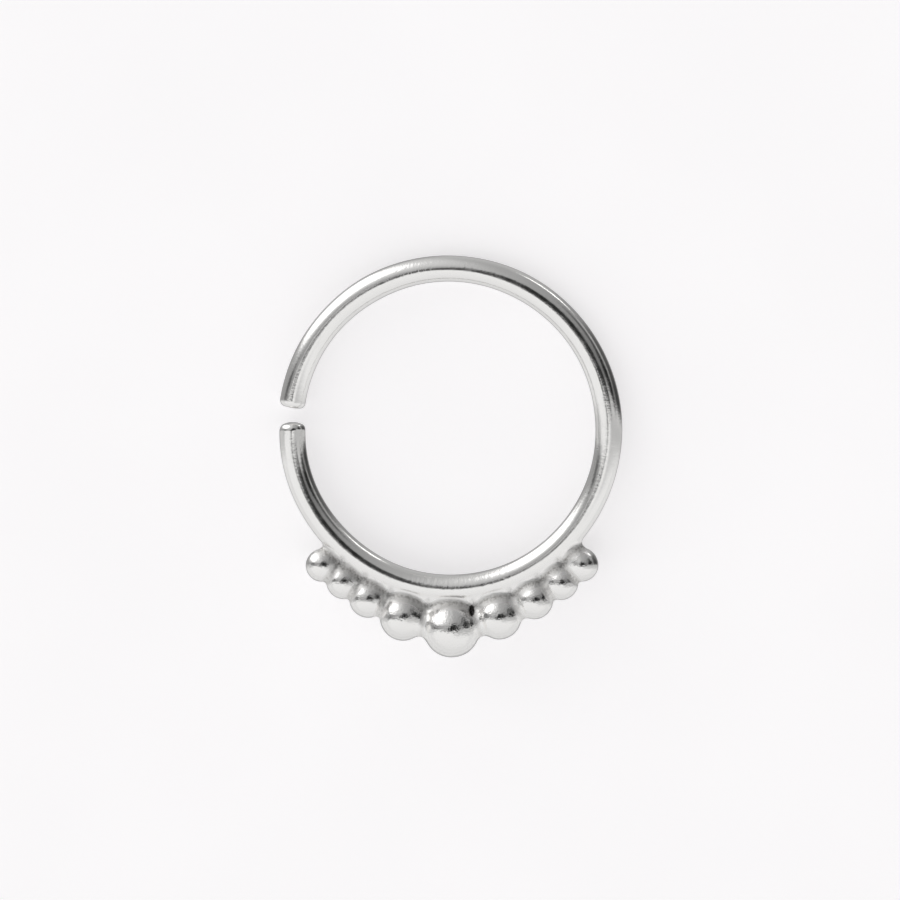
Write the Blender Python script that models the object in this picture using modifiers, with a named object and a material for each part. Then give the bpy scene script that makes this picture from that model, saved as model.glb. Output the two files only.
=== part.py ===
"""A seamless nose ring, one piece of silver.

A hoop of round wire, open by a small gap between its two ends, carries a row of graduated
beads soldered side by side along its outer edge, with the largest in the middle.
The ring is modelled flat, with its beads towards -Y and its gap towards -X. It is then tipped
onto its natural rest, where the largest bead and the wire across from it touch the ground.
"""

import math
from typing import NamedTuple

import bmesh
import bpy
from mathutils import Matrix, Vector

MM = 0.001

# Wire of the hoop
INNER_DIAMETER = 9.0 * MM
WIRE_DIAMETER = 0.81 * MM

# Gap between the wire's ends, with angles counter-clockwise from +X
GAP_WIDTH = 0.44 * MM
GAP_ANGLE = math.radians(175.3)
UPPER_END_ROUNDING = 0.14 * MM
LOWER_END_ROUNDING = 0.21 * MM

# The lower end springs in from the circle, over this last stretch of the wire
LOWER_END_INSET = 0.06 * MM
SPRUNG_ARC = math.radians(30)

# Direction of the middle bead from the hoop's centre
ROW_ANGLE = math.radians(-89.6)


class Bead(NamedTuple):
    """A bead, and how it is joined to the wire and to the bead before it."""

    diameter: float
    sink: float
    seat: float
    overlap: float
    joint: float


# Sink is the bead's depth in the wire, and seat the hollow radius of the solder round its foot.
# Overlap is its depth in the bead before it, counted from the middle, and joint the hollow
# radius of the solder there.
MIDDLE_BEAD = Bead(diameter=1.74 * MM, sink=0.01 * MM, seat=0.16 * MM, overlap=0.0, joint=0.0)
LEFT_BEADS = (
    Bead(diameter=1.42 * MM, sink=0.01 * MM, seat=0.16 * MM, overlap=0.04 * MM, joint=0.26 * MM),
    Bead(diameter=1.15 * MM, sink=0.03 * MM, seat=0.16 * MM, overlap=0.07 * MM, joint=0.12 * MM),
    Bead(diameter=1.08 * MM, sink=0.08 * MM, seat=0.16 * MM, overlap=0.19 * MM, joint=0.08 * MM),
    Bead(diameter=1.01 * MM, sink=0.01 * MM, seat=0.12 * MM, overlap=0.22 * MM, joint=0.08 * MM),
)
RIGHT_BEADS = (
    Bead(diameter=1.37 * MM, sink=0.01 * MM, seat=0.16 * MM, overlap=0.04 * MM, joint=0.14 * MM),
    Bead(diameter=1.15 * MM, sink=0.01 * MM, seat=0.16 * MM, overlap=0.05 * MM, joint=0.14 * MM),
    Bead(diameter=1.06 * MM, sink=0.01 * MM, seat=0.20 * MM, overlap=0.12 * MM, joint=0.10 * MM),
    Bead(diameter=1.03 * MM, sink=0.01 * MM, seat=0.32 * MM, overlap=0.20 * MM, joint=0.08 * MM),
)

# Run of solder between the row of beads and the wire
SEAM_DIAMETER = 0.42 * MM
SEAM_RISE = 0.10 * MM
SEAM_END_ROUNDING = 0.16 * MM

# Facets
WIRE_STEPS = 84
WIRE_BEVEL_RESOLUTION = 6
SEAM_STEPS = 32
SEAM_BEVEL_RESOLUTION = 2
END_STEPS = 4
BEAD_SEGMENTS = 18
BEAD_RINGS = 10
SOLDER_SIDES = 12
SOLDER_STEPS = 4
WELD_DISTANCE = 0.0001 * MM
SHARP_ANGLE = math.radians(40)

# Polished silver
SILVER_COLOUR = (0.82, 0.81, 0.79, 1.0)
SILVER_ROUGHNESS = 0.16

WIRE_RADIUS = WIRE_DIAMETER / 2
HOOP_RADIUS = INNER_DIAMETER / 2 + WIRE_RADIUS
OUTER_RADIUS = HOOP_RADIUS + WIRE_RADIUS


def clear_scene():
    for obj in list(bpy.data.objects):
        bpy.data.objects.remove(obj, do_unlink=True)


def new_collection(name):
    collection = bpy.data.collections.new(name)
    bpy.context.scene.collection.children.link(collection)
    return collection


def silver_material():
    material = bpy.data.materials.new("silver")
    material.use_nodes = True
    shader = material.node_tree.nodes["Principled BSDF"]
    shader.inputs["Base Color"].default_value = SILVER_COLOUR
    shader.inputs["Metallic"].default_value = 1.0
    shader.inputs["Roughness"].default_value = SILVER_ROUGHNESS
    return material


def on_circle(angle, radius):
    return Vector((radius * math.cos(angle), radius * math.sin(angle), 0.0))


def rounded_end(radius, rounding):
    """(distance from the tip, share of the full thickness) along a rounded end, from the tip."""
    stations = []
    for step in range(END_STEPS, -1, -1):
        turn = step / END_STEPS * math.pi / 2
        distance = rounding * (1 - math.sin(turn))
        thickness = radius - rounding * (1 - math.cos(turn))
        stations.append((distance, thickness / radius))
    return stations


def arc_stations(path_radius, wire_radius, start, end, start_rounding, end_rounding, steps):
    """(angle, share of the full thickness) along a wire from its start to its end."""
    first = [
        (start + distance / path_radius, share)
        for distance, share in rounded_end(wire_radius, start_rounding)
    ]
    last = [
        (end - distance / path_radius, share)
        for distance, share in rounded_end(wire_radius, end_rounding)
    ]
    last.reverse()
    whole_start = first[-1][0]
    whole_end = last[0][0]
    middle = [
        (whole_start + (whole_end - whole_start) * step / steps, 1.0)
        for step in range(1, steps)
    ]
    return first + middle + last


def bent_wire(name, points, shares, wire_radius, bevel_resolution):
    """A round wire through the points, welded into a closed mesh object."""
    curve = bpy.data.curves.new(name, "CURVE")
    curve.dimensions = "3D"
    curve.twist_mode = "Z_UP"
    curve.bevel_depth = wire_radius
    curve.bevel_resolution = bevel_resolution
    curve.use_fill_caps = True
    spline = curve.splines.new("POLY")
    spline.points.add(len(points) - 1)
    for spline_point, point, share in zip(spline.points, points, shares):
        spline_point.co = (*point, 1.0)
        spline_point.radius = share
    wire = bpy.data.objects.new(name + "_path", curve)
    bpy.context.scene.collection.objects.link(wire)
    bpy.context.view_layer.update()
    graph = bpy.context.evaluated_depsgraph_get()
    mesh = bpy.data.meshes.new_from_object(wire.evaluated_get(graph), depsgraph=graph)
    obj = bpy.data.objects.new(name, mesh)
    obj.matrix_world = wire.matrix_world
    bpy.data.objects.remove(wire, do_unlink=True)
    bpy.data.curves.remove(curve)
    close_mesh(mesh)
    return obj


def close_mesh(mesh):
    """Welds the caps to the sides, and turns every face outwards."""
    work = bmesh.new()
    work.from_mesh(mesh)
    bmesh.ops.remove_doubles(work, verts=work.verts, dist=WELD_DISTANCE)
    bmesh.ops.recalc_face_normals(work, faces=work.faces)
    work.to_mesh(mesh)
    work.free()


def sprung_radius(angle, start):
    """The hoop's radius at an angle, which falls off over the sprung stretch at its lower end."""
    share = max(0.0, 1 - (angle - start) / SPRUNG_ARC)
    return HOOP_RADIUS - LOWER_END_INSET * share**2


def hoop_wire():
    """The hoop, from its lower end round by the beads to its upper end."""
    half_gap = math.asin(GAP_WIDTH / 2 / HOOP_RADIUS)
    start = GAP_ANGLE + half_gap - 2 * math.pi
    end = GAP_ANGLE - half_gap
    stations = arc_stations(
        HOOP_RADIUS, WIRE_RADIUS, start, end, LOWER_END_ROUNDING, UPPER_END_ROUNDING, WIRE_STEPS
    )
    points = [on_circle(angle, sprung_radius(angle, start)) for angle, _ in stations]
    shares = [share for _, share in stations]
    return bent_wire("beaded_hoop", points, shares, WIRE_RADIUS, WIRE_BEVEL_RESOLUTION)


def bead_distance(bead):
    """How far the bead's centre is from the hoop's centre."""
    return OUTER_RADIUS + bead.diameter / 2 - bead.sink


def placed_side(beads, way):
    """(bead, angle) of the beads on one side of the middle one. Way is 1 to the right and -1 to the left."""
    placed = []
    before = MIDDLE_BEAD
    angle = ROW_ANGLE
    for bead in beads:
        near = bead_distance(before)
        far = bead_distance(bead)
        apart = (before.diameter + bead.diameter) / 2 - bead.overlap
        cosine = (near**2 + far**2 - apart**2) / (2 * near * far)
        angle += way * math.acos(cosine)
        placed.append((bead, angle))
        before = bead
    return placed


def bead_ball(name, bead, centre):
    mesh = bpy.data.meshes.new(name)
    work = bmesh.new()
    bmesh.ops.create_uvsphere(
        work, u_segments=BEAD_SEGMENTS, v_segments=BEAD_RINGS, radius=bead.diameter / 2
    )
    work.to_mesh(mesh)
    work.free()
    obj = bpy.data.objects.new(name, mesh)
    obj.location = centre
    return obj


def solder_profile(radius_a, radius_b, apart, rounding):
    """The hollow outline of solder between two round bodies, from B on top down to A at the origin.

    The outline is an arc that touches both, turned later about the line through their centres.
    """
    reach_a = radius_a + rounding
    reach_b = radius_b + rounding
    height = (apart**2 + reach_a**2 - reach_b**2) / (2 * apart)
    out = math.sqrt(reach_a**2 - height**2)
    turn_b = math.atan2(apart - height, -out)
    turn_a = math.atan2(-height, -out) + 2 * math.pi
    arc = []
    for step in range(SOLDER_STEPS + 1):
        turn = turn_b + (turn_a - turn_b) * step / SOLDER_STEPS
        arc.append((out + rounding * math.cos(turn), height + rounding * math.sin(turn)))
    return [(0.0, arc[0][1]), *arc, (0.0, arc[-1][1])]


def solder_joint(name, centre_a, radius_a, centre_b, radius_b, rounding):
    """Solder turned about the line between two round bodies, and tangent to both."""
    between = centre_b - centre_a
    profile = solder_profile(radius_a, radius_b, between.length, rounding)
    mesh = bpy.data.meshes.new(name)
    points = [(x, 0.0, z) for x, z in profile]
    mesh.from_pydata(points, [(i, i + 1) for i in range(len(points) - 1)], [])
    obj = bpy.data.objects.new(name, mesh)
    turned = obj.modifiers.new("turned", "SCREW")
    turned.axis = "Z"
    turned.steps = SOLDER_SIDES
    turned.render_steps = SOLDER_SIDES
    turned.use_merge_vertices = True
    turned.merge_threshold = WELD_DISTANCE
    obj.location = centre_a
    obj.rotation_mode = "QUATERNION"
    obj.rotation_quaternion = between.to_track_quat("Z", "Y")
    return obj


def seat_solder(name, bead, angle):
    """Solder round the foot of one bead, on the wire."""
    return solder_joint(
        name,
        on_circle(angle, HOOP_RADIUS),
        WIRE_RADIUS,
        on_circle(angle, bead_distance(bead)),
        bead.diameter / 2,
        bead.seat,
    )


def solder_seam(start, end):
    """The run of solder along the wire's outer edge, from the first bead to the last."""
    path_radius = OUTER_RADIUS + SEAM_RISE
    seam_radius = SEAM_DIAMETER / 2
    stations = arc_stations(
        path_radius, seam_radius, start, end, SEAM_END_ROUNDING, SEAM_END_ROUNDING, SEAM_STEPS
    )
    points = [on_circle(angle, path_radius) for angle, _ in stations]
    shares = [share for _, share in stations]
    return bent_wire("solder_seam", points, shares, seam_radius, SEAM_BEVEL_RESOLUTION)


def row_pieces():
    """Every bead of the row with its solder, as separate helper objects."""
    middle = (MIDDLE_BEAD, ROW_ANGLE)
    pieces = []
    outermost = []
    for side, beads, way in (("left", LEFT_BEADS, -1), ("right", RIGHT_BEADS, 1)):
        before, before_angle = middle
        for number, (bead, angle) in enumerate(placed_side(beads, way), start=1):
            label = f"{side}_{number}"
            centre = on_circle(angle, bead_distance(bead))
            before_centre = on_circle(before_angle, bead_distance(before))
            pieces.append(bead_ball(f"bead_{label}", bead, centre))
            pieces.append(seat_solder(f"seat_{label}", bead, angle))
            pieces.append(
                solder_joint(
                    f"joint_{label}",
                    before_centre,
                    before.diameter / 2,
                    centre,
                    bead.diameter / 2,
                    bead.joint,
                )
            )
            before, before_angle = bead, angle
        outermost.append(before_angle)
    pieces.append(bead_ball("bead_middle", MIDDLE_BEAD, on_circle(ROW_ANGLE, bead_distance(MIDDLE_BEAD))))
    pieces.append(seat_solder("seat_middle", MIDDLE_BEAD, ROW_ANGLE))
    pieces.append(solder_seam(*outermost))
    return pieces


def fuse(body, pieces, helpers):
    """Joins the pieces to the body as one metal, and keeps them as hidden helpers."""
    for piece in pieces:
        helpers.objects.link(piece)
        piece.parent = body.parent
        piece.hide_render = True
        piece.display_type = "WIRE"
    union = body.modifiers.new("soldered", "BOOLEAN")
    union.operation = "UNION"
    union.solver = "EXACT"
    union.operand_type = "COLLECTION"
    union.collection = helpers


def rest_tilt():
    """The turn that brings the middle bead's underside and the wire across from it to one level."""
    bead_radius = MIDDLE_BEAD.diameter / 2
    span = bead_distance(MIDDLE_BEAD) + HOOP_RADIUS
    tilt = math.asin((bead_radius - WIRE_RADIUS) / span)
    hinge = on_circle(ROW_ANGLE, 1.0).cross(Vector((0.0, 0.0, 1.0)))
    return Matrix.Rotation(tilt, 4, hinge)


def lay_on_ground(plane, body):
    """Moves the ring so that the middle of its footprint is the origin and its lowest point is at Z = 0."""
    plane.rotation_mode = "QUATERNION"
    plane.rotation_quaternion = rest_tilt().to_quaternion()
    bpy.context.view_layer.update()
    graph = bpy.context.evaluated_depsgraph_get()
    evaluated = body.evaluated_get(graph)
    mesh = evaluated.to_mesh()
    points = [evaluated.matrix_world @ vertex.co for vertex in mesh.vertices]
    evaluated.to_mesh_clear()
    low = Vector(min(point[axis] for point in points) for axis in range(3))
    high = Vector(max(point[axis] for point in points) for axis in range(3))
    plane.location = -Vector(((low.x + high.x) / 2, (low.y + high.y) / 2, low.z))


def main():
    clear_scene()
    parts = new_collection("nose_ring")
    helpers = new_collection("soldered_on")
    plane = bpy.data.objects.new("ring_plane", None)
    parts.objects.link(plane)
    hoop = hoop_wire()
    parts.objects.link(hoop)
    hoop.parent = plane
    hoop.data.materials.append(silver_material())
    fuse(hoop, row_pieces(), helpers)
    hoop.data.shade_smooth()
    hoop.data.set_sharp_from_angle(angle=SHARP_ANGLE)
    lay_on_ground(plane, hoop)


main()
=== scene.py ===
"""A seamless silver nose ring, lying on a pale floor in soft studio light.

The ring is one piece of soldered metal: a hoop of round wire, open by a small gap, with a row of
graduated beads along its outer edge. It is roughed out on a bench, in millimetres and flat, from
bent wire and balls. Then the solder is flowed over it, which draws every point of the surface
onto one smooth skin with hollow fillets in the corners. At the end it is laid on the ground, in
metres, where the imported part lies.
"""

import logging
import math
from dataclasses import dataclass, field
from enum import Enum
from typing import NamedTuple

import bpy
import numpy as np
from mathutils import Matrix, Vector


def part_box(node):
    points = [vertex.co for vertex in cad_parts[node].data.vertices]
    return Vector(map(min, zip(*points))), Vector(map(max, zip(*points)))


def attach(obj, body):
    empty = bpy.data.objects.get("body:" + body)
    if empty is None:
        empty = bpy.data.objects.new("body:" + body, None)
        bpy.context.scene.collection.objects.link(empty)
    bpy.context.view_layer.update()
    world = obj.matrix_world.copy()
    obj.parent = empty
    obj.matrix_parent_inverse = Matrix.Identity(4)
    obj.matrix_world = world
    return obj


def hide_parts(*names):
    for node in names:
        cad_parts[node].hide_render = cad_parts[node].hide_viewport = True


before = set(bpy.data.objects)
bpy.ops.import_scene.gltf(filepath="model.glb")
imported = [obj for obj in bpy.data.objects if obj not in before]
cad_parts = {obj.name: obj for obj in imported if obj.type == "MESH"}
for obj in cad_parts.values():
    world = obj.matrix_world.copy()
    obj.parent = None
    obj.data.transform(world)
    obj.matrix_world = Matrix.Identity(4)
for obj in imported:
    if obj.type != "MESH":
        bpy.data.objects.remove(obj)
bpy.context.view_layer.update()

log = logging.getLogger("nose_ring")

MM = 0.001
NODE = "beaded_hoop"
SOFT_WHITE = (1.0, 0.986, 0.9955, 1.0)

Array = np.ndarray
Object = bpy.types.Object
Socket = bpy.types.NodeSocket
Colour = tuple[float, float, float, float]
Span = tuple[float, float]

# Names of the values that the skin carries for its finishes and its painted shade
TARNISH_AND_SHADE = "tarnish_and_shade"
PAINTED_SHADE = "painted_shade"
CAST = "cast"
LAY = "lay"


# Shaping helpers


def on_circle(angle: float, radius: float) -> Vector:
    """A point of a circle in the ring's plane, counter-clockwise from +X, at a height of zero."""
    return Vector((radius * math.cos(angle), radius * math.sin(angle), 0.0))


def ease(value: Array, low: float, high: float) -> Array:
    """A smooth step from 0 at the low value to 1 at the high one."""
    share = np.clip((value - low) / (high - low), 0.0, 1.0)
    return share * share * (3.0 - 2.0 * share)


def filleted(first: Array, second: Array, radius: Array | float) -> Array:
    """The distance to two bodies joined with a hollow fillet.

    Args:
        first: Distance to the first body.
        second: Distance to the second body.
        radius: Radius of the fillet, in the unit of the distances.

    Returns:
        The distance to the joined body.
    """
    into_first = np.maximum(radius - first, 0.0)
    into_second = np.maximum(radius - second, 0.0)
    return np.maximum(radius, np.minimum(first, second)) - np.hypot(into_first, into_second)


def eased_edge(first: Array, second: Array, radius: float) -> Array:
    """The distance to what two bodies have in common, with its edge rounded over.

    Args:
        first: Distance to the first body.
        second: Distance to the second body.
        radius: Radius of the rounded edge.

    Returns:
        The distance to the common body.
    """
    past_first = np.maximum(radius + first, 0.0)
    past_second = np.maximum(radius + second, 0.0)
    return np.minimum(-radius, np.maximum(first, second)) + np.hypot(past_first, past_second)


@dataclass(frozen=True)
class Ripple:
    """Unevenness of a hand-worked surface: a few long waves that cross each other.

    The waves are drawn from a seed, so every run gives the same surface.
    """

    wavelength: float
    depth: float
    seed: int
    waves: int = 9

    def height(self, points: Array) -> Array:
        """How far the surface rises at each point.

        Args:
            points: Places on the surface, in millimetres.

        Returns:
            The rise at each point, in millimetres.
        """
        draw = np.random.default_rng(self.seed)
        ways = draw.normal(size=(self.waves, 3))
        ways /= np.linalg.norm(ways, axis=1)[:, None]
        lengths = self.wavelength * draw.uniform(0.7, 1.5, size=self.waves)
        starts = draw.uniform(0.0, 2.0 * math.pi, size=self.waves)
        turns = points @ (ways.T * (2.0 * math.pi / lengths)) + starts
        return self.depth * np.sin(turns).sum(axis=1) / math.sqrt(self.waves)


class Bench:
    """The bench that the ring is roughed out on: one Blender unit there is a millimetre."""

    @staticmethod
    def clear_hands() -> None:
        """Leaves edit mode, and deselects everything."""
        if bpy.context.mode != "OBJECT":
            bpy.ops.object.mode_set(mode="OBJECT")
        bpy.ops.object.select_all(action="DESELECT")

    @classmethod
    def take_up(cls, *pieces: Object) -> None:
        """Selects some objects and nothing else, and makes the first the active one.

        Args:
            pieces: The objects.
        """
        cls.clear_hands()
        for piece in pieces:
            piece.select_set(True)
        bpy.context.view_layer.objects.active = pieces[0]

    @classmethod
    def bent_rod(
        cls, name: str, radius: float, path: float, start: float, arc: float, steps: int
    ) -> Object:
        """A round rod bent round the hoop's centre, with flat ends.

        Args:
            name: Name of the new object.
            radius: The rod's own radius.
            path: Radius that it is bent to.
            start: Angle of its first end, in radians.
            arc: How far it goes round counter-clockwise, in radians.
            steps: Number of steps along it.

        Returns:
            The rod, as one closed mesh.
        """
        cls.clear_hands()
        bpy.ops.mesh.primitive_circle_add(
            vertices=32,
            radius=radius,
            fill_type="NGON",
            location=on_circle(start, path),
            rotation=(math.pi / 2, 0.0, start),
        )
        rod = bpy.context.active_object
        rod.name = name
        bpy.ops.object.transform_apply(location=True, rotation=True, scale=True)
        bpy.ops.object.mode_set(mode="EDIT")
        bpy.ops.mesh.select_all(action="SELECT")
        bpy.ops.mesh.spin(steps=steps, angle=-arc, center=(0.0, 0.0, 0.0), axis=(0.0, 0.0, 1.0))
        cls.close_shell()
        return rod

    @classmethod
    def ball(cls, name: str, radius: float, centre: Vector) -> Object:
        """A ball.

        Args:
            name: Name of the new object.
            radius: Its radius.
            centre: Its centre.

        Returns:
            The ball.
        """
        cls.clear_hands()
        bpy.ops.mesh.primitive_uv_sphere_add(
            segments=48, ring_count=24, radius=radius, location=centre
        )
        ball = bpy.context.active_object
        ball.name = name
        return ball

    @classmethod
    def peg(cls, name: str, radius: float, start: Vector, end: Vector) -> Object:
        """A short straight peg that fills the neck between two bodies.

        Args:
            name: Name of the new object.
            radius: Its radius.
            start: Centre of the first body.
            end: Centre of the second body.

        Returns:
            The peg.
        """
        cls.clear_hands()
        between = end - start
        bpy.ops.mesh.primitive_cylinder_add(
            vertices=32,
            radius=radius,
            depth=between.length,
            location=(start + end) / 2,
            rotation=between.to_track_quat("Z", "Y").to_euler(),
        )
        peg = bpy.context.active_object
        peg.name = name
        return peg

    @staticmethod
    def close_shell() -> None:
        """Merges the doubles of the mesh in edit mode, turns its faces out and leaves edit mode."""
        bpy.ops.mesh.select_all(action="SELECT")
        bpy.ops.mesh.remove_doubles(threshold=0.0001)
        bpy.ops.mesh.normals_make_consistent(inside=False)
        bpy.ops.object.mode_set(mode="OBJECT")

    @classmethod
    def joined(cls, name: str, blanks: list[Object]) -> Object:
        """All the blanks as one object, with its place in its mesh.

        Args:
            name: Name of the joined object.
            blanks: The objects to join.

        Returns:
            The joined object.
        """
        cls.take_up(*blanks)
        bpy.ops.object.join()
        whole = bpy.context.active_object
        whole.name = name
        whole.data.name = name
        bpy.ops.object.transform_apply(location=True, rotation=True, scale=True)
        return whole

    @classmethod
    def melted(cls, piece: Object, grain: float) -> None:
        """Melts overlapping blanks into one even skin.

        Args:
            piece: The joined blanks.
            grain: Size of the skin's faces.
        """
        cls.take_up(piece)
        melt = piece.modifiers.new("melt", "REMESH")
        melt.mode = "VOXEL"
        melt.voxel_size = grain
        melt.adaptivity = 0.0
        bpy.ops.object.modifier_apply(modifier=melt.name)


# The ring's sub-assemblies, in millimetres in the ring's own plane


@dataclass(frozen=True)
class WireEnd:
    """How one end of the wire is cut and filed.

    The dome is the radius of its crowned face, the edge the rounding of its rim, and the slants
    are how far the cut leans, in the ring's plane and out of it.
    """

    dome: float
    edge: float
    slant_in_plane: float
    slant_to_front: float

    def cut(self, past: Array, outward: Array, height: Array) -> Array:
        """The distance past the crowned face of the end.

        Args:
            past: How far along the wire a point is past the middle of the end.
            outward: How far the point is outside the wire's centre line, in the ring's plane.
            height: How far the point is in front of the ring's plane.

        Returns:
            The distance, negative inside the wire.
        """
        past = past + outward * math.tan(self.slant_in_plane)
        past = past + height * math.tan(self.slant_to_front)
        into_dome = np.maximum(past + self.dome, 0.0)
        return np.sqrt(into_dome**2 + outward**2 + height**2) - self.dome


@dataclass
class HoopWire:
    """The round wire of the hoop, with its two ends."""

    inner_diameter: float = 9.0
    diameter: float = 0.81
    gap_width: float = 0.42
    gap_angle: float = math.radians(175.9)
    blank_steps: int = 240
    lower_inset: float = 0.06
    sprung_arc: float = math.radians(30)
    upper_end: WireEnd = WireEnd(1.6, 0.15, math.radians(2.5), math.radians(3))
    lower_end: WireEnd = WireEnd(0.66, 0.10, math.radians(2), math.radians(-5))
    wander: Ripple = Ripple(wavelength=3.2, depth=0.006, seed=11)

    @property
    def radius(self) -> float:
        """Radius of the wire."""
        return self.diameter / 2

    @property
    def path(self) -> float:
        """Radius of the wire's centre line."""
        return self.inner_diameter / 2 + self.radius

    @property
    def outer(self) -> float:
        """Radius of the hoop's outer edge."""
        return self.path + self.radius

    @property
    def start(self) -> float:
        """Angle of the lower end."""
        return self.gap_angle + self.half_gap - 2 * math.pi

    @property
    def half_gap(self) -> float:
        """Half of the angle that the gap takes up."""
        return math.asin(self.gap_width / 2 / self.path)

    @property
    def arc(self) -> float:
        """Angle that the wire goes round by."""
        return 2 * math.pi - 2 * self.half_gap

    def blank(self) -> Object:
        """The wire, bent round on the bench."""
        sizes = (self.radius, self.path, self.start, self.arc, self.blank_steps)
        return Bench.bent_rod("wire_blank", *sizes)

    def laid_out(self, points: Array) -> tuple[Array, Array]:
        """Where points are along and outside the wire's centre line.

        Args:
            points: Places in the ring's plane and in front of it.

        Returns:
            The angle along the wire from its lower end, which is negative before it, and the
            distance outside the centre line.
        """
        angle = np.mod(np.arctan2(points[:, 1], points[:, 0]) - self.start, 2 * math.pi)
        angle = np.where(angle > self.arc + self.half_gap, angle - 2 * math.pi, angle)
        sprung = np.clip(1.0 - angle / self.sprung_arc, 0.0, 1.2)
        path = self.path - self.lower_inset * sprung**2
        return angle, np.hypot(points[:, 0], points[:, 1]) - path

    def distance(self, points: Array) -> Array:
        """The distance to the wire.

        Args:
            points: Places to measure from.

        Returns:
            The distance from each place, negative inside the metal.
        """
        angle, outward = self.laid_out(points)
        height = points[:, 2]
        side = np.hypot(outward, height) - self.radius
        past_upper = (angle - self.arc) * self.path
        past_lower = -angle * self.path
        at_upper = self.upper_end.cut(past_upper, outward, height)
        at_lower = self.lower_end.cut(past_lower, outward, height)
        nearer_upper = angle > self.arc / 2
        body = np.where(
            nearer_upper,
            eased_edge(side, at_upper, self.upper_end.edge),
            eased_edge(side, at_lower, self.lower_end.edge),
        )
        return body - self.wander.height(points)

    def lay(self, points: Array) -> Array:
        """How far points of the skin are along the wire, and where on its round section."""
        angle, outward = self.laid_out(points)
        return np.stack([angle * self.path, outward, points[:, 2]], axis=1)


@dataclass(frozen=True)
class Bead:
    """A bead and its solder.

    Sink is its depth in the wire, and seat the hollow radius of the solder round its foot.
    Overlap is its depth in the bead before it, counted from the middle. Joint is the hollow
    radius of the solder there, and neck the thickness of that joint.
    """

    diameter: float
    sink: float
    seat: float
    overlap: float = 0.0
    joint: float = 0.0
    neck: float = 0.0


class Side(Enum):
    """A side of the row, and its way round the hoop."""

    LEFT = -1
    RIGHT = 1


@dataclass
class BeadRow:
    """The row of graduated beads, the largest in the middle, with the solder between them."""

    wire: HoopWire
    angle: float = math.radians(-89.4)
    middle: Bead = Bead(1.74, sink=0.01, seat=0.22)
    left: tuple[Bead, ...] = (
        Bead(1.42, sink=0.01, seat=0.24, overlap=0.04, joint=0.37, neck=0.34),
        Bead(1.15, sink=0.03, seat=0.25, overlap=0.07, joint=0.20, neck=0.26),
        Bead(1.08, sink=0.08, seat=0.25, overlap=0.19, joint=0.12, neck=0.30),
        Bead(1.01, sink=0.01, seat=0.24, overlap=0.22, joint=0.12, neck=0.30),
    )
    right: tuple[Bead, ...] = (
        Bead(1.37, sink=0.01, seat=0.24, overlap=0.04, joint=0.36, neck=0.33),
        Bead(1.15, sink=0.01, seat=0.25, overlap=0.05, joint=0.30, neck=0.28),
        Bead(1.06, sink=0.01, seat=0.26, overlap=0.12, joint=0.16, neck=0.26),
        Bead(1.03, sink=0.01, seat=0.36, overlap=0.20, joint=0.12, neck=0.30),
    )
    dimpling: Ripple = Ripple(wavelength=0.62, depth=0.0035, seed=23)
    foot_share: float = 0.2

    def __post_init__(self) -> None:
        """Sets the beads out once."""
        self.row = self.placed()
        self.centres = [on_circle(angle, self.distance_out(bead)) for bead, angle in self.row]
        self.radii = np.array([bead.diameter / 2 for bead, _ in self.row])

    def distance_out(self, bead: Bead) -> float:
        """How far a bead's centre is from the hoop's centre."""
        return self.wire.outer + bead.diameter / 2 - bead.sink

    def placed(self) -> list[tuple[Bead, float]]:
        """Every bead with its angle, from the left end of the row to the right end.

        Returns:
            The beads and their angles.
        """
        row = [(self.middle, self.angle)]
        for side, beads in ((Side.LEFT, self.left), (Side.RIGHT, self.right)):
            before = self.middle
            angle = self.angle
            for bead in beads:
                near = self.distance_out(before)
                far = self.distance_out(bead)
                apart = (before.diameter + bead.diameter) / 2 - bead.overlap
                angle += side.value * math.acos((near**2 + far**2 - apart**2) / (2 * near * far))
                row.append((bead, angle))
                before = bead
        row.sort(key=lambda entry: entry[1])
        return row

    def joints(self) -> list[Bead]:
        """The bead that gives each joint of the row its sizes, from left to right."""
        return [*reversed(self.left), *self.right]

    def blanks(self) -> list[Object]:
        """The balls and the pegs between them, on the bench.

        Returns:
            The blanks of the row.
        """
        blanks = []
        for number, ((bead, angle), centre) in enumerate(zip(self.row, self.centres), start=1):
            foot = on_circle(angle, self.wire.path)
            blanks.append(Bench.ball(f"bead_blank_{number}", bead.diameter / 2, centre))
            radius = bead.diameter * self.foot_share
            blanks.append(Bench.peg(f"seat_blank_{number}", radius, foot, centre))
        for number, joint in enumerate(self.joints()):
            start, end = self.centres[number : number + 2]
            blanks.append(Bench.peg(f"joint_blank_{number + 1}", joint.neck, start, end))
        return blanks

    def ball_distances(self, points: Array) -> Array:
        """The distance to each bead by itself.

        Args:
            points: Places to measure from.

        Returns:
            One row of distances per bead, from left to right.
        """
        centres = np.array(self.centres)
        squares = (points**2).sum(axis=1) + (centres**2).sum(axis=1)[:, None]
        squares = squares - 2.0 * centres @ points.T
        return np.sqrt(np.maximum(squares, 0.0)) - self.radii[:, None]

    def soldered(self, balls: Array) -> Array:
        """The distance to the beads joined by their solder.

        Args:
            balls: The distance to each bead by itself.

        Returns:
            The distance to the whole row.
        """
        body = balls[0]
        for joint, ball in zip(self.joints(), balls[1:]):
            body = filleted(body, ball, joint.joint)
        return body

    def seats(self, points: Array) -> Array:
        """The hollow radius of the solder along the wire, going evenly from bead to bead."""
        places, seats = zip(*((angle, bead.seat) for bead, angle in self.row))
        return np.interp(np.arctan2(points[:, 1], points[:, 0]), places, seats)


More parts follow.
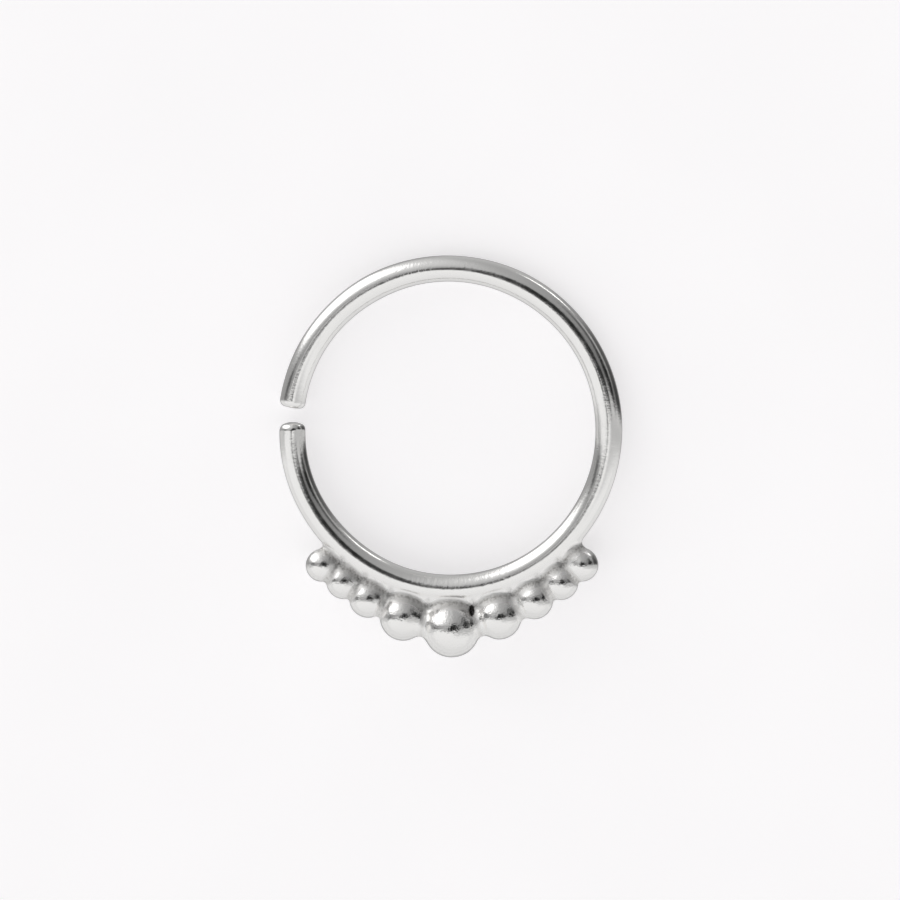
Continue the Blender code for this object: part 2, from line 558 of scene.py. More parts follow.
@dataclass
class SolderSeam:
    """The run of solder along the wire's outer edge, from the first bead to the last."""

    row: BeadRow
    diameter: float = 0.42
    rise: float = 0.10
    spread: float = 0.22
    blank_steps: int = 64
    sag: Ripple = Ripple(wavelength=0.42, depth=0.0032, seed=37)
    crumb: Ripple = Ripple(wavelength=0.20, depth=0.0012, seed=41)

    @property
    def path(self) -> float:
        """Radius of the run's centre line."""
        return self.row.wire.outer + self.rise

    @property
    def start(self) -> float:
        """Angle of the run's left end."""
        return self.row.row[0][1]

    @property
    def arc(self) -> float:
        """Angle that the run goes round by."""
        return self.row.row[-1][1] - self.start

    def lumps(self, points: Array) -> Array:
        """The unevenness of frozen solder at each point."""
        return self.sag.height(points) + self.crumb.height(points)

    def blank(self) -> Object:
        """The run of solder, bent round on the bench."""
        sizes = (self.diameter / 2, self.path, self.start, self.arc, self.blank_steps)
        return Bench.bent_rod("seam_blank", *sizes)

    def distance(self, points: Array) -> Array:
        """The distance to the run of solder.

        Args:
            points: Places to measure from.

        Returns:
            The distance from each place, negative inside the metal.
        """
        angle = np.arctan2(points[:, 1], points[:, 0])
        angle = np.clip(angle, self.start, self.start + self.arc)
        spine = self.path * np.stack([np.cos(angle), np.sin(angle), np.zeros_like(angle)], axis=1)
        return np.linalg.norm(points - spine, axis=1) - self.diameter / 2


@dataclass(frozen=True)
class Pit:
    """A deep pit that the solder left open."""

    angle: float = math.radians(-82.7)
    distance_out: float = 5.60
    height: float = 0.42
    half_width: float = 0.07
    half_length: float = 0.16
    half_depth: float = 0.36
    rim: float = 0.02

    def distance(self, points: Array) -> Array:
        """The distance to the pit's hollow.

        Args:
            points: Places to measure from.

        Returns:
            The distance from each place, negative inside the hollow.
        """
        centre = on_circle(self.angle, self.distance_out)
        out = np.array(on_circle(self.angle, 1.0))
        side = np.array([-out[1], out[0], 0.0])
        away = points - np.array([centre.x, centre.y, self.height])
        half_sizes = np.array([self.half_width, self.half_length, self.half_depth])
        scaled = np.stack([away @ side, away @ out, away[:, 2]], axis=1) / half_sizes
        reach = np.linalg.norm(scaled, axis=1)
        steepness = np.linalg.norm(scaled / half_sizes, axis=1)
        return (reach - 1.0) * np.maximum(reach, 1e-6) / np.maximum(steepness, 1e-6)


@dataclass
class BeadedHoop:
    """The whole ring: the wire, the row of beads and the solder, flowed into one skin.

    The reaches are the distances, in millimetres, over which the solder's dullness and each kind
    of painted shade fade out. That of the flank is a share of the bead's radius.
    """

    wire: HoopWire = field(default_factory=HoopWire)
    pit: Pit = Pit()
    grain: float = 0.046
    flow_rounds: int = 5
    relax_rounds: int = 2
    redraw_rounds: int = 2
    probe: float = 0.0005
    longest_step: float = 0.06
    least_steepness: float = 0.2
    row_margin: float = 0.6
    longer_below: float = 0.0065
    solder_reach: Span = (0.02, 0.30)
    wire_shade_reach: Span = (0.06, 0.62)
    flank_reach: Span = (0.0, 0.75)
    corner_reach: Span = (0.12, 0.44)
    pit_reach: Span = (0.005, 0.05)
    cast_edge: Span = (-0.06, 0.06)
    # The solder's dullness is its own; the flank and corner amounts set painted shade
    solder_dullness: float = 0.85
    flank_shade: float = 0.2
    corner_shade: float = 0.75

    def __post_init__(self) -> None:
        """Sets out the row and the seam on the wire."""
        self.row = BeadRow(self.wire)
        self.seam = SolderSeam(self.row)
        tops = (centre.y + radius for centre, radius in zip(self.row.centres, self.row.radii))
        self.row_top = max(tops) + self.row_margin

    def skin(self, points: Array) -> Array:
        """The distance to the finished surface.

        Args:
            points: Places to measure from.

        Returns:
            The distance from each place, negative inside the metal.
        """
        body = self.wire.distance(points)
        near = points[:, 1] < self.row_top
        body[near] = self.soldered_skin(points[near], body[near])
        return body

    def soldered_skin(self, points: Array, wire: Array) -> Array:
        """The distance to the finished surface at and near the row of beads.

        Args:
            points: Places to measure from.
            wire: The distance to the wire at each.

        Returns:
            The distance from each place, negative inside the metal.
        """
        balls = self.row.ball_distances(points)
        beads = self.row.soldered(balls) - self.row.dimpling.height(points)
        carrier = filleted(wire, self.seam.distance(points), self.seam.spread)
        body = filleted(beads, carrier, self.row.seats(points))
        body = body - self.crevice(balls, wire) * self.seam.lumps(points)
        return eased_edge(body, -self.pit.distance(points), self.pit.rim)

    def crevice(self, balls: Array, wire: Array) -> Array:
        """1 in the middle of the solder between two bodies, and 0 away from it."""
        second = np.partition(np.vstack([balls, wire]), 1, axis=0)[1]
        return 1.0 - ease(second, *self.solder_reach)

    def wear_and_shade(self, points: Array) -> dict[str, Array]:
        """The values that the skin carries for its finish.

        Tarnish and shade is 0 on open skin and more in the solder, which is dull, and it is painted
        shade on the beads' flanks and most where a bead meets the wire. Painted shade is 1 inside
        the pit and less in the corners where two beads meet the wire, which paints those hollows
        dark. Cast is 1 on the cast beads and 0 on the drawn wire, and lay is the place along and
        round the wire.

        Args:
            points: Places on the surface.

        Returns:
            The values at each place, by their name.
        """
        balls = self.row.ball_distances(points)
        wire = self.wire.distance(points)
        cast = 1.0 - ease(balls.min(axis=0) - wire, *self.cast_edge)
        # Painted shade on the beads' flanks and on their tops next to the wire; the solder itself
        # is dull
        rise = points[:, 2] / self.row.radii[balls.argmin(axis=0)]
        flank = self.flank_shade * (1.0 - ease(rise, *self.flank_reach))
        by_wire = 1.0 - ease(wire, *self.wire_shade_reach)
        in_solder = self.solder_dullness * self.crevice(balls, wire)
        tarnish_and_shade = np.maximum(in_solder, cast * np.maximum(by_wire, flank))
        # Painted shade in the corners where two beads meet the wire, and near black inside the pit
        third = np.partition(np.vstack([balls, wire]), 2, axis=0)[2]
        corner = self.corner_shade * (1.0 - ease(third, *self.corner_reach))
        painted_shade = np.maximum(corner, 1.0 - ease(self.pit.distance(points), *self.pit_reach))
        return {TARNISH_AND_SHADE: tarnish_and_shade, PAINTED_SHADE: painted_shade, CAST: cast, LAY: self.wire.lay(points)}

    def slope(self, points: Array) -> Array:
        """The way in which the distance grows, measured by small steps.

        Args:
            points: Places to measure at.

        Returns:
            The slope at each place.
        """
        slope = np.empty_like(points)
        for axis in range(3):
            step = np.zeros(3)
            step[axis] = self.probe
            slope[:, axis] = self.skin(points + step) - self.skin(points - step)
        return slope / (2 * self.probe)

    def drawn_to_skin(self, points: Array, rounds: int) -> Array:
        """Draws points onto the finished surface.

        Args:
            points: Places near the surface.
            rounds: How often to step towards it.

        Returns:
            The moved points.
        """
        for _ in range(rounds):
            slope = self.slope(points)
            steep = np.maximum((slope**2).sum(axis=1), self.least_steepness)
            step = np.clip(self.skin(points) / steep, -self.longest_step, self.longest_step)
            points = points - slope * step[:, None]
        return points

    def rough_out(self) -> Object:
        """Bends and sets the blanks, and melts them into one skin.

        Returns:
            The rough ring, in millimetres.
        """
        blanks = [self.wire.blank(), *self.row.blanks(), self.seam.blank()]
        ring = Bench.joined(NODE + "_silver", blanks)
        Bench.melted(ring, self.grain)
        return ring

    def flow_solder(self, ring: Object) -> Array:
        """Draws the rough skin onto the finished surface, evened out between the rounds.

        Args:
            ring: The rough ring, in millimetres.

        Returns:
            The finished points.
        """
        points = read_points(ring)
        points = self.drawn_to_skin(points, self.flow_rounds)
        for _ in range(self.relax_rounds):
            write_points(ring, points)
            Bench.take_up(ring)
            bpy.ops.object.mode_set(mode="EDIT")
            bpy.ops.mesh.select_all(action="SELECT")
            bpy.ops.mesh.vertices_smooth(factor=0.5, repeat=2)
            bpy.ops.object.mode_set(mode="OBJECT")
            points = self.drawn_to_skin(read_points(ring), self.redraw_rounds)
        return points

    def build(self, rest: "RestingPlace") -> Object:
        """Makes the ring and lays it on the ground.

        Args:
            rest: Where it lies.

        Returns:
            The finished ring, in metres.
        """
        ring = self.rough_out()
        points = self.flow_solder(ring)
        normals = self.slope(points)
        normals /= np.linalg.norm(normals, axis=1)[:, None]
        for name, values in self.wear_and_shade(points).items():
            set_values(ring, name, values)
        points[:, 1] += self.longer_below * np.minimum(points[:, 1], 0.0)
        write_points(ring, rest.placed(points))
        ring.data.shade_smooth()
        ring.data.normals_split_custom_set_from_vertices(rest.turned(normals))
        return ring


# Mesh values


def read_points(piece: Object) -> Array:
    """Reads the points of a mesh.

    Args:
        piece: The mesh object.

    Returns:
        One row of coordinates per point.
    """
    flat = np.empty(len(piece.data.vertices) * 3)
    piece.data.vertices.foreach_get("co", flat)
    return flat.reshape(-1, 3)


def write_points(piece: Object, points: Array) -> None:
    """Moves the points of a mesh."""
    piece.data.vertices.foreach_set("co", points.reshape(-1))
    piece.data.update()


def set_values(piece: Object, name: str, values: Array) -> None:
    """Stores one number or one vector per point on a mesh.

    Args:
        piece: The mesh object.
        name: Name that a material reads.
        values: The numbers, or one row per vector.
    """
    kind, slot = ("FLOAT", "value") if values.ndim == 1 else ("FLOAT_VECTOR", "vector")
    layer = piece.data.attributes.new(name, kind, "POINT")
    layer.data.foreach_set(slot, values.astype(np.float32).reshape(-1))


# Place on the ground


@dataclass
class RestingPlace:
    """How the ring lies: on its largest bead and on the wire across from it."""

    hoop: BeadedHoop

    @property
    def tilt(self) -> float:
        """The turn that brings both points of contact to one level.

        Returns:
            Its angle, in radians.
        """
        wire = self.hoop.wire
        row = self.hoop.row
        span = row.distance_out(row.middle) + wire.path
        return math.asin((row.middle.diameter / 2 - wire.radius) / span)

    @property
    def turn(self) -> Matrix:
        """The turn from the ring's plane to the ground."""
        hinge = on_circle(self.hoop.row.angle, 1.0).cross(Vector((0.0, 0.0, 1.0)))
        return Matrix.Rotation(self.tilt, 3, hinge)

    @property
    def centre(self) -> Vector:
        """Where the hoop's centre is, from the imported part's box.

        Returns:
            The centre, in metres.
        """
        wire = self.hoop.wire
        _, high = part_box(NODE)
        right = high[0] - wire.outer * MM
        far = high[1] - (wire.path * math.cos(self.tilt) + wire.radius) * MM
        return Vector((right, far, (wire.path * math.sin(self.tilt) + wire.radius) * MM))

    def turned(self, ways: Array) -> Array:
        """Directions in the ring's plane, turned to the ground."""
        return ways @ np.array(self.turn).T

    def placed(self, points: Array) -> Array:
        """Points in the ring's plane in millimetres, laid on the ground in metres."""
        return self.turned(points) * MM + np.array(self.centre)


# Materials and light


class Ramp(NamedTuple):
    """A smooth change from the start to the end, while a value goes from low to high."""

    low: float
    high: float
    start: float = 0.0
    end: float = 1.0


class Noise(NamedTuple):
    """The settings of a Noise texture."""

    scale: float
    detail: float
    roughness: float


class Sketch:
    """Draws shader nodes, so that a finish reads as a sum of simple steps.

    A feed is what goes into a node's input: another node's socket, a number or a colour.
    """

    def __init__(self, tree: bpy.types.NodeTree) -> None:
        """Takes up the node tree to draw in."""
        self.tree = tree

    @classmethod
    def finish(cls, name: str) -> tuple[bpy.types.Material, "Sketch", bpy.types.Node]:
        """Starts a new material.

        Args:
            name: The material's name.

        Returns:
            The material, the sketch of its nodes, and its surface shader.
        """
        material = bpy.data.materials.new(name)
        material.use_nodes = True
        tree = material.node_tree
        return material, cls(tree), tree.nodes["Principled BSDF"]

    def feed(self, node: bpy.types.Node, feeds: dict[int | str, object]) -> None:
        """Feeds some inputs of a node.

        Args:
            node: The node.
            feeds: The feed of each input, by the input's number or name. None leaves it as it is.
        """
        for name, source in feeds.items():
            if isinstance(source, Socket):
                self.tree.links.new(source, node.inputs[name])
            elif source is not None:
                node.inputs[name].default_value = source

    def node(
        self, kind: str, feeds: dict[int | str, object], output: int | str = 0, **settings: object
    ) -> Socket:
        """Adds a node.

        Args:
            kind: Its type.
            feeds: The feed of each input, by the input's number or name.
            output: Number or name of the output that is wanted.
            settings: Properties to set on it.

        Returns:
            The output.
        """
        node = self.tree.nodes.new(kind)
        for name, value in settings.items():
            setattr(node, name, value)
        self.feed(node, feeds)
        return node.outputs[output]

    def value(self, name: str, output: str = "Fac") -> Socket:
        """A value that the mesh carries."""
        return self.node("ShaderNodeAttribute", {}, output, attribute_name=name)

    def sum(self, operation: str, *feeds: object) -> Socket:
        """The result of a Math node."""
        return self.node("ShaderNodeMath", dict(enumerate(feeds)), operation=operation)

    def vector_sum(self, operation: str, *feeds: object, output: int | str = 0) -> Socket:
        """The result of a Vector Math node."""
        feeds = dict(enumerate(feeds))
        return self.node("ShaderNodeVectorMath", feeds, output, operation=operation)

    def ramp(
        self, value: object, low: float, high: float, start: float = 0.0, end: float = 1.0
    ) -> Socket:
        """A smooth change from the start to the end, while the value goes from low to high."""
        feeds = dict(enumerate((value, low, high, start, end)))
        return self.node("ShaderNodeMapRange", feeds, interpolation_type="SMOOTHSTEP")

    def band(self, value: object, span: Span, blur: float) -> Socket:
        """1 inside a span and 0 outside, with soft edges.

        Args:
            value: What is tested.
            span: The lowest and highest value inside.
            blur: Half the width of an edge.

        Returns:
            The result.
        """
        low, high = span
        rise = self.ramp(value, low - blur, low + blur)
        fall = self.ramp(value, high - blur, high + blur, 1.0, 0.0)
        return self.sum("MULTIPLY", rise, fall)

    def blend(self, share: object, first: object, second: object) -> Socket:
        """A mix of two numbers, which is the second one at a share of 1."""
        return self.node("ShaderNodeMix", {0: share, 2: first, 3: second}, data_type="FLOAT")

    def tint(self, share: object, first: object, second: object) -> Socket:
        """A mix of two colours, which is the second one at a share of 1."""
        return self.node("ShaderNodeMix", {0: share, 6: first, 7: second}, 2, data_type="RGBA")

    def noise(self, vector: object, noise: Noise) -> Socket:
        """The value of a Noise texture."""
        feeds = dict(zip(("Vector", "Scale", "Detail", "Roughness"), (vector, *noise)))
        return self.node("ShaderNodeTexNoise", feeds)

    def stretched(self, vector: object, scale: tuple[float, float, float]) -> Socket:
        """Coordinates multiplied along each axis."""
        feeds = {"Vector": vector, "Scale": scale}
        return self.node("ShaderNodeMapping", feeds, vector_type="POINT")

    def bump(self, height: object, depth: float, strength: object, under: object) -> Socket:
        """The normal of a relief, its depth in metres, on top of another one's normal, if any."""
        feeds = {"Height": height, "Distance": depth, "Strength": strength, "Normal": under}
        return self.node("ShaderNodeBump", feeds)


@dataclass(frozen=True)
class WornAndShadedSilver:
    """Polished sterling silver: drawn along the wire, dimpled on the beads, dull in the solder,
    with painted shade on the beads and in the corners.
    """

    name: str = "polished_silver"
    bright: Colour = (0.955, 0.945, 0.932, 1.0)
    # Dull grey of the solder, also painted on the beads as shade
    dull: Colour = (0.36, 0.345, 0.325, 1.0)
    # Near black painted as shade in the corners and the pit
    black: Colour = (0.045, 0.042, 0.04, 1.0)
    wire_roughness: float = 0.15
    bead_roughness: float = 0.09
    solder_roughness: float = 0.46
    draw_depth: float = 1.1e-6
    rub_depth: float = 7.0e-6
    dent_depth: float = 6.0e-6
    pit_depth: float = 14.0e-6
    crumb_depth: float = 10.0e-6
    blotches: Noise = Noise(2600.0, 3.0, 0.6)
    dents: Noise = Noise(7000.0, 2.0, 0.55)
    specks: Noise = Noise(14000.0, 3.0, 0.6)
    crumbs: Noise = Noise(22000.0, 2.0, 0.6)
    draw_lines: Noise = Noise(1.0, 3.0, 0.65)
    draw_stretch: tuple[float, float, float] = (1.1, 26.0, 26.0)
    rub_lines: Noise = Noise(1.0, 2.0, 0.6)
    rub_stretch: tuple[float, float, float] = (9.0, 3.5, 3.5)
    tarnish_and_shade_power: float = 3.0
    tarnish_and_shade_by_speck: Ramp = Ramp(0.34, 0.62, 1.0, 0.35)
    painted_shade_by_speck: Ramp = Ramp(0.34, 0.60, 1.0, 0.55)
    dull_by_tarnish_and_shade: Ramp = Ramp(0.02, 0.5)
    rough_by_blotch: Ramp = Ramp(0.35, 0.70, 0.82, 1.30)
    rub_by_blotch: Ramp = Ramp(0.42, 0.62, 0.15, 0.5)
    dents_by_cast: Ramp = Ramp(0.0, 1.0, 0.15, 0.7)
    pits_by_cast: Ramp = Ramp(0.0, 1.0, 0.13, 0.5)
    pits_by_tarnish_and_shade: Ramp = Ramp(0.05, 0.6)
    crumbs_by_cast: Ramp = Ramp(0.0, 1.0, 0.0, 0.22)
    crumbs_by_tarnish_and_shade: Ramp = Ramp(0.1, 0.7)
    scuffs: tuple[Span, ...] = ((6.6, 10.2), (23.6, 25.8))
    scuff_blur: float = 0.5

    def material(self) -> bpy.types.Material:
        """Builds the finish.

        Returns:
            The material.
        """
        material, sketch, shader = Sketch.finish(self.name)
        place = sketch.node("ShaderNodeTexCoord", {}, "Object")
        tarnish_and_shade, cast, painted_shade = (sketch.value(name) for name in (TARNISH_AND_SHADE, CAST, PAINTED_SHADE))
        lay = sketch.value(LAY, "Vector")

        blotch = sketch.noise(place, self.blotches)
        speck = sketch.noise(place, self.specks)
        drawn = sketch.noise(sketch.stretched(lay, self.draw_stretch), self.draw_lines)
        rubbed = sketch.noise(sketch.stretched(lay, self.rub_stretch), self.rub_lines)

        # Painted shade: the silver is darkened towards the dull grey on the beads' flanks and tops
        # by the wire, and in the dull solder
        tarnish_and_shade_share = sketch.sum("POWER", tarnish_and_shade, self.tarnish_and_shade_power)
        tarnish_and_shade_share = sketch.sum("MULTIPLY", tarnish_and_shade_share, sketch.ramp(speck, *self.tarnish_and_shade_by_speck))
        silver = sketch.tint(tarnish_and_shade_share, self.bright, self.dull)
        # Painted shade: the corners and the pit are painted near black
        black = sketch.sum("MULTIPLY", painted_shade, sketch.ramp(speck, *self.painted_shade_by_speck))
        colour = sketch.tint(black, silver, self.black)

        dull = sketch.ramp(tarnish_and_shade, *self.dull_by_tarnish_and_shade)
        roughness = sketch.blend(cast, self.wire_roughness, self.bead_roughness)
        roughness = sketch.blend(dull, roughness, self.solder_roughness)
        uneven = sketch.ramp(blotch, *self.rough_by_blotch)
        roughness = sketch.sum("MULTIPLY", roughness, uneven)

        handled = sketch.ramp(blotch, *self.rub_by_blotch)
        along = sketch.node("ShaderNodeSeparateXYZ", {0: lay})
        for span in self.scuffs:
            scuffed = sketch.band(along, span, self.scuff_blur)
            handled = sketch.sum("MAXIMUM", handled, scuffed)
        pitted = sketch.ramp(cast, *self.pits_by_cast)
        pitted = sketch.sum("MAXIMUM", pitted, sketch.ramp(tarnish_and_shade, *self.pits_by_tarnish_and_shade))
        gritty = sketch.ramp(cast, *self.crumbs_by_cast)
        gritty = sketch.sum("MAXIMUM", gritty, sketch.ramp(tarnish_and_shade, *self.crumbs_by_tarnish_and_shade))
        dented = sketch.ramp(cast, *self.dents_by_cast)
        normal = None
        for relief, depth, strength in (
            (drawn, self.draw_depth, sketch.sum("SUBTRACT", 1.0, cast)),
            (rubbed, self.rub_depth, handled),
            (sketch.noise(place, self.dents), self.dent_depth, dented),
            (speck, self.pit_depth, pitted),
            (sketch.noise(place, self.crumbs), self.crumb_depth, gritty),
        ):
            normal = sketch.bump(relief, depth, strength, normal)
        feeds = {"Base Color": colour, "Metallic": 1.0, "Roughness": roughness, "Normal": normal}
        sketch.feed(shader, feeds)
        return material


@dataclass(frozen=True)
class PaleFloor:
    """The plain pale floor that the ring lies on."""

    name: str = "pale_floor"
    radius: float = 0.5
    colour: Colour = (0.80, 0.789, 0.7965, 1.0)
    roughness: float = 0.6
    gloss: float = 0.1
    glow: float = 0.487
    clouds: Noise = Noise(130.0, 2.0, 0.5)
    glow_by_cloud: Ramp = Ramp(0.3, 0.7, 0.988, 1.012)

    def build(self) -> Object:
        """Makes the floor.

        Returns:
            The floor.
        """
        Bench.clear_hands()
        bpy.ops.mesh.primitive_circle_add(
            vertices=96, radius=self.radius, fill_type="NGON", location=(0.0, 0.0, 0.0)
        )
        floor = bpy.context.active_object
        floor.name = "floor"
        floor.data.materials.append(self.material())
        floor.visible_glossy = False
        return floor

    def material(self) -> bpy.types.Material:
        """Builds the floor's finish.

        Returns:
            The material.
        """
        material, sketch, shader = Sketch.finish(self.name)
        place = sketch.node("ShaderNodeTexCoord", {}, "Object")
        tone = sketch.ramp(sketch.noise(place, self.clouds), *self.glow_by_cloud)
        feeds = {
            "Base Color": self.colour,
            "Roughness": self.roughness,
            "Specular IOR Level": self.gloss,
            "Emission Color": SOFT_WHITE,
            "Emission Strength": sketch.sum("MULTIPLY", tone, self.glow),
        }
        sketch.feed(shader, feeds)
        return material


@dataclass(frozen=True)
class ProductCamera:
    """The camera, at the photograph's angle to the ring and well off.

    The photograph's size and the hoop's centre in it are in pixels, and its scale is in pixels
    per millimetre.
    """

    lean: float = math.radians(8.4)
    lean_towards: float = math.radians(45)
    distance: float = 300.0
    sensor: float = 36.0
    photo_size: float = 900.0
    photo_scale: float = 32.6
    hoop_centre: tuple[float, float] = (449.6, 427.9)

    def axes(self, rest: RestingPlace) -> Matrix:
        """The camera's axes.

        Args:
            rest: Where the ring lies.

        Returns:
            Its right, up and backward directions, as columns.
        """
        back = on_circle(self.lean_towards, math.sin(self.lean))
        back.z = math.cos(self.lean)
        back = rest.turn @ back
        ring_up = rest.turn @ Vector((0.0, 1.0, 0.0))
        right = ring_up.cross(back).normalized()
        up = back.cross(right)
        return Matrix((right, up, back)).transposed()

    def build(self, rest: RestingPlace) -> Object:
        """Sets the camera up.

        Args:
            rest: Where the ring lies.

        Returns:
            The camera.
        """
        axes = self.axes(rest)
        right = (self.hoop_centre[0] - self.photo_size / 2) / self.photo_scale
        up = (self.photo_size / 2 - self.hoop_centre[1]) / self.photo_scale
        offset = axes @ Vector((-right, -up, self.distance))
        lens = bpy.data.cameras.new("product_camera")
        lens.sensor_width = self.sensor
        lens.lens = self.sensor * self.distance / (self.photo_size / self.photo_scale)
        lens.clip_start = 0.001
        lens.clip_end = 10.0
        camera = bpy.data.objects.new("product_camera", lens)
        camera.matrix_world = Matrix.Translation(rest.centre + offset * MM) @ axes.to_4x4()
        bpy.context.scene.collection.objects.link(camera)
        bpy.context.scene.camera = camera
        return camera


@dataclass(frozen=True)
class MirrorBall:
    """Where a way out into the studio shows on a mirror ball seen from the product camera.

    Turn is the angle on the ball's disc in degrees from the right, and reach the distance from
    the disc's middle. Across and height are the distances to the right of the middle and above
    it. All but the turn are in ball radii, and all are drawn in the sketch.
    """

    sketch: Sketch
    turn: Socket
    reach: Socket
    across: Socket
    height: Socket


@dataclass(frozen=True)
class Patch:
    """A light or dark shape round the ring, between spans of the mirror ball's measures.

    Two brightnesses are those of the first and the last end of its turn.
    """

    brightness: float | Span
    turn: Span | None = None
    reach: Span | None = None
    across: Span | None = None
    height: Span | None = None
    turn_blur: float = 5.0
    blur: float = 0.03

    def mask(self, ball: MirrorBall) -> object:
        """How much of the patch shows in each direction.

        Args:
            ball: The mirror ball's measures.

        Returns:
            A socket that is 1 inside the patch and 0 outside.
        """
        sketch = ball.sketch
        mask = 1.0
        for value, span, blur in (
            (ball.turn, self.turn, self.turn_blur),
            (ball.reach, self.reach, self.blur),
            (ball.across, self.across, self.blur),
            (ball.height, self.height, self.blur),
        ):
            if span is not None:
                mask = sketch.sum("MULTIPLY", mask, sketch.band(value, span, blur))
        return mask

    def tone(self, ball: MirrorBall) -> object:
        """The brightness: a number, or a socket where it fades from one to another."""
        fade = self.brightness if isinstance(self.brightness, tuple) else None
        return ball.sketch.ramp(ball.turn, *self.turn, *fade) if fade else self.brightness


@dataclass(frozen=True)
class Oval:
    """A light or dark oval round the ring. Its blur is a share of its half sizes."""

    brightness: float
    centre: tuple[float, float]
    half_size: tuple[float, float]
    blur: float = 0.2

    def mask(self, ball: MirrorBall) -> object:
        """How much of the oval shows in each direction.

        Args:
            ball: The mirror ball's measures.

        Returns:
            A socket that is 1 inside the oval and 0 outside.
        """
        sketch = ball.sketch
        squares = []
        for value, middle, half in zip((ball.across, ball.height), self.centre, self.half_size):
            share = sketch.sum("DIVIDE", sketch.sum("SUBTRACT", value, middle), half)
            squares.append(sketch.sum("MULTIPLY", share, share))
        out = sketch.sum("SQRT", sketch.sum("ADD", *squares))
        return sketch.ramp(out, 1.0 - self.blur, 1.0 + self.blur, 1.0, 0.0)

    def tone(self, ball: MirrorBall) -> object:
        """The brightness, which is the same all over."""
        return self.brightness


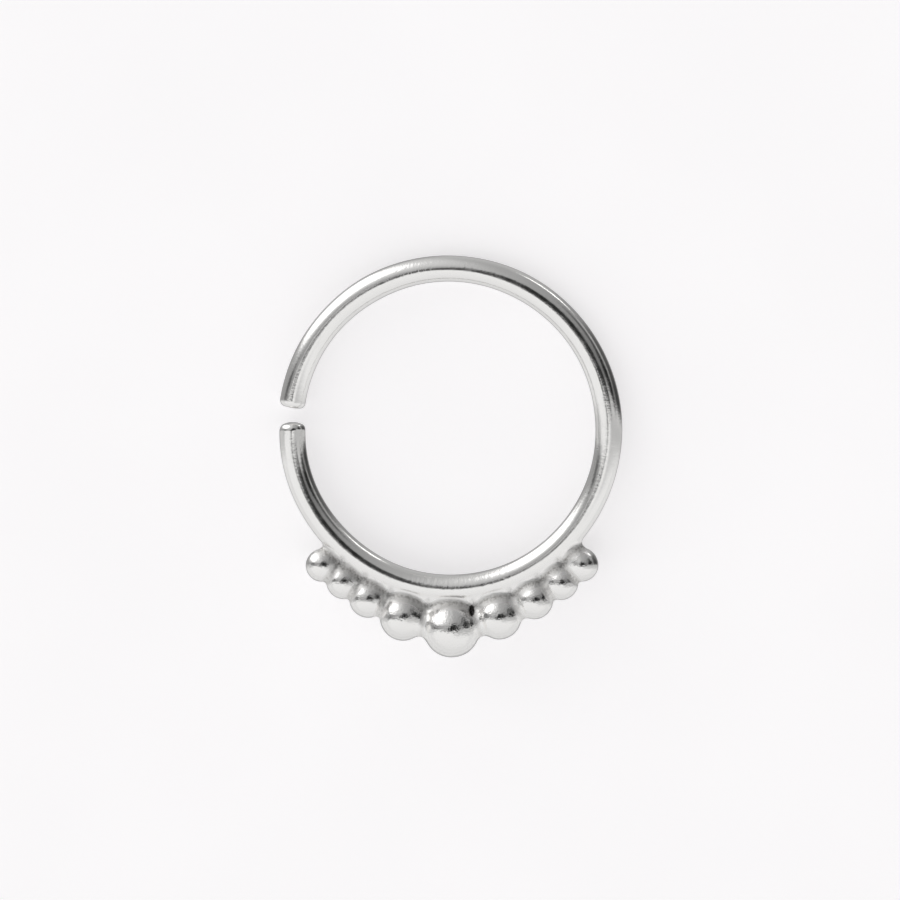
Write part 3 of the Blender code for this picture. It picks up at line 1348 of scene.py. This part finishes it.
@dataclass(frozen=True)
class SoftStudio:
    """Soft studio light: a pale table below, a softbox to the upper left and a dim room above."""

    table_by_height: Ramp = Ramp(-0.9, 0.0, 0.9476, 1.0815)
    backdrop: float = 0.90
    shapes: tuple[tuple[str, Patch | Oval], ...] = (
        ("table_right", Patch(0.60, across=(0.12, 2), height=(-0.20, 0.0), blur=0.10)),
        ("table_left", Patch(0.70, across=(-2, -0.6), height=(-0.16, 0.0), blur=0.05)),
        ("table_far", Patch(0.90, reach=(0.70, 0.80), height=(-2, -0.2), blur=0.05)),
        ("room_right", Patch((0.15, 0.42), turn=(-8, 72), height=(0.01, 2.0), turn_blur=6)),
        ("room_top", Patch((0.44, 0.62), turn=(66, 114), height=(-0.03, 2.0), turn_blur=8)),
        ("room_left", Patch((0.66, 0.36), turn=(108, 188), height=(0.0, 2.0), turn_blur=6)),
        ("ceiling", Patch(0.62, turn=(56, 126), reach=(0.82, 2.0), turn_blur=14, blur=0.2)),
        ("softbox_glow", Oval(0.80, centre=(-0.41, 0.50), half_size=(0.36, 0.36), blur=0.3)),
        ("softbox", Oval(1.7, centre=(-0.49, 0.475), half_size=(0.275, 0.275), blur=0.22)),
        ("rim_left", Patch(0.45, turn=(96, 176), reach=(0.885, 2.0), blur=0.07)),
        ("left_grey", Patch(0.32, across=(-0.70, -0.28), height=(-0.05, 0.02))),
        ("left_line", Patch(0.04, across=(-0.26, -0.14), height=(-0.075, -0.02), blur=0.02)),
        ("left_shade", Oval(0.12, centre=(-0.56, 0.05), half_size=(0.12, 0.05), blur=0.3)),
        ("dark_flag", Patch((0.02, 0.12), turn=(0, 46), reach=(0.47, 0.60))),
        ("low_strip", Patch((0.50, 0.80), turn=(14, 40), reach=(0.655, 0.69), blur=0.015)),
        ("high_strip", Patch(3.0, turn=(46, 64), reach=(0.735, 0.775), blur=0.02)),
        ("far_dark", Patch((0.05, 0.12), turn=(2, 36), reach=(0.73, 0.92))),
        ("camera", Oval(0.02, centre=(0.06, 0.06), half_size=(0.15, 0.125), blur=0.2)),
        ("stand_left", Patch(0.04, across=(-0.14, -0.05), height=(-0.115, 0.04), blur=0.02)),
        ("stand_middle", Patch(0.02, across=(-0.06, 0.08), height=(-0.075, 0.04), blur=0.02)),
        ("stand_right", Patch(0.02, across=(0.06, 0.28), height=(-0.055, 0.05), blur=0.025)),
        ("tripod", Oval(0.02, centre=(0.50, 0.12), half_size=(0.11, 0.10), blur=0.25)),
        ("table_edge", Patch(0.72, reach=(0.86, 0.885), height=(-2, -0.05), blur=0.015)),
        ("under", Patch(0.42, reach=(0.955, 2.0), blur=0.04)),
    )

    def ball(self, sketch: Sketch, axes: Matrix) -> MirrorBall:
        """Measures every direction on a mirror ball.

        Args:
            sketch: The world's nodes.
            axes: The product camera's right, up and backward directions, as columns.

        Returns:
            The ball's measures.
        """
        right, up, back = axes.transposed()
        way_out = sketch.node("ShaderNodeTexCoord", {}, "Generated")
        facing = sketch.vector_sum("NORMALIZE", sketch.vector_sum("ADD", way_out, back))
        across = sketch.vector_sum("DOT_PRODUCT", facing, right, output="Value")
        height = sketch.vector_sum("DOT_PRODUCT", facing, up, output="Value")
        squares = (sketch.sum("MULTIPLY", value, value) for value in (across, height))
        return MirrorBall(
            sketch=sketch,
            turn=sketch.sum("MULTIPLY", sketch.sum("ARCTAN2", height, across), 180.0 / math.pi),
            reach=sketch.sum("SQRT", sketch.sum("ADD", *squares)),
            across=across,
            height=height,
        )

    def build(self, axes: Matrix) -> bpy.types.World:
        """Hangs the studio round the ring as its world.

        Args:
            axes: The product camera's right, up and backward directions, as columns.

        Returns:
            The world.
        """
        world = bpy.data.worlds.new("soft_studio")
        world.use_nodes = True
        world.node_tree.nodes.clear()
        sketch = Sketch(world.node_tree)
        ball = self.ball(sketch, axes)
        light = sketch.ramp(ball.height, *self.table_by_height)
        for _, shape in self.shapes:
            light = sketch.blend(shape.mask(ball), light, shape.tone(ball))
        mirrored = sketch.node("ShaderNodeBackground", {"Strength": light})
        pale = {"Color": SOFT_WHITE, "Strength": self.backdrop}
        plain = sketch.node("ShaderNodeBackground", pale)
        seen = sketch.node("ShaderNodeLightPath", {}, "Is Camera Ray")
        choice = sketch.node("ShaderNodeMixShader", {0: seen, 1: mirrored, 2: plain})
        sketch.feed(world.node_tree.nodes.new("ShaderNodeOutputWorld"), {"Surface": choice})
        bpy.context.scene.world = world
        return world


def main() -> None:
    """Builds the ring, its finish and the studio, in that order, and reports each."""
    logging.basicConfig(level=logging.INFO, format="%(message)s")
    hoop = BeadedHoop()
    rest = RestingPlace(hoop)
    ring = hoop.build(rest)
    ring.data.materials.clear()
    ring.data.materials.append(WornAndShadedSilver().material())
    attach(ring, "root")
    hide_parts(NODE)
    log.info("%s: %d faces", ring.name, len(ring.data.polygons))
    floor = PaleFloor().build()
    log.info("%s: %.1f m across", floor.name, 2 * PaleFloor().radius)
    camera = ProductCamera()
    stand = camera.build(rest)
    log.info("%s: %.0f mm from the ring", stand.name, camera.distance)
    studio = SoftStudio()
    studio.build(camera.axes(rest))
    log.info("soft studio: %d shapes", len(studio.shapes))
    bpy.context.scene.view_settings.view_transform = "Standard"


if __name__ == "__main__":
    main()
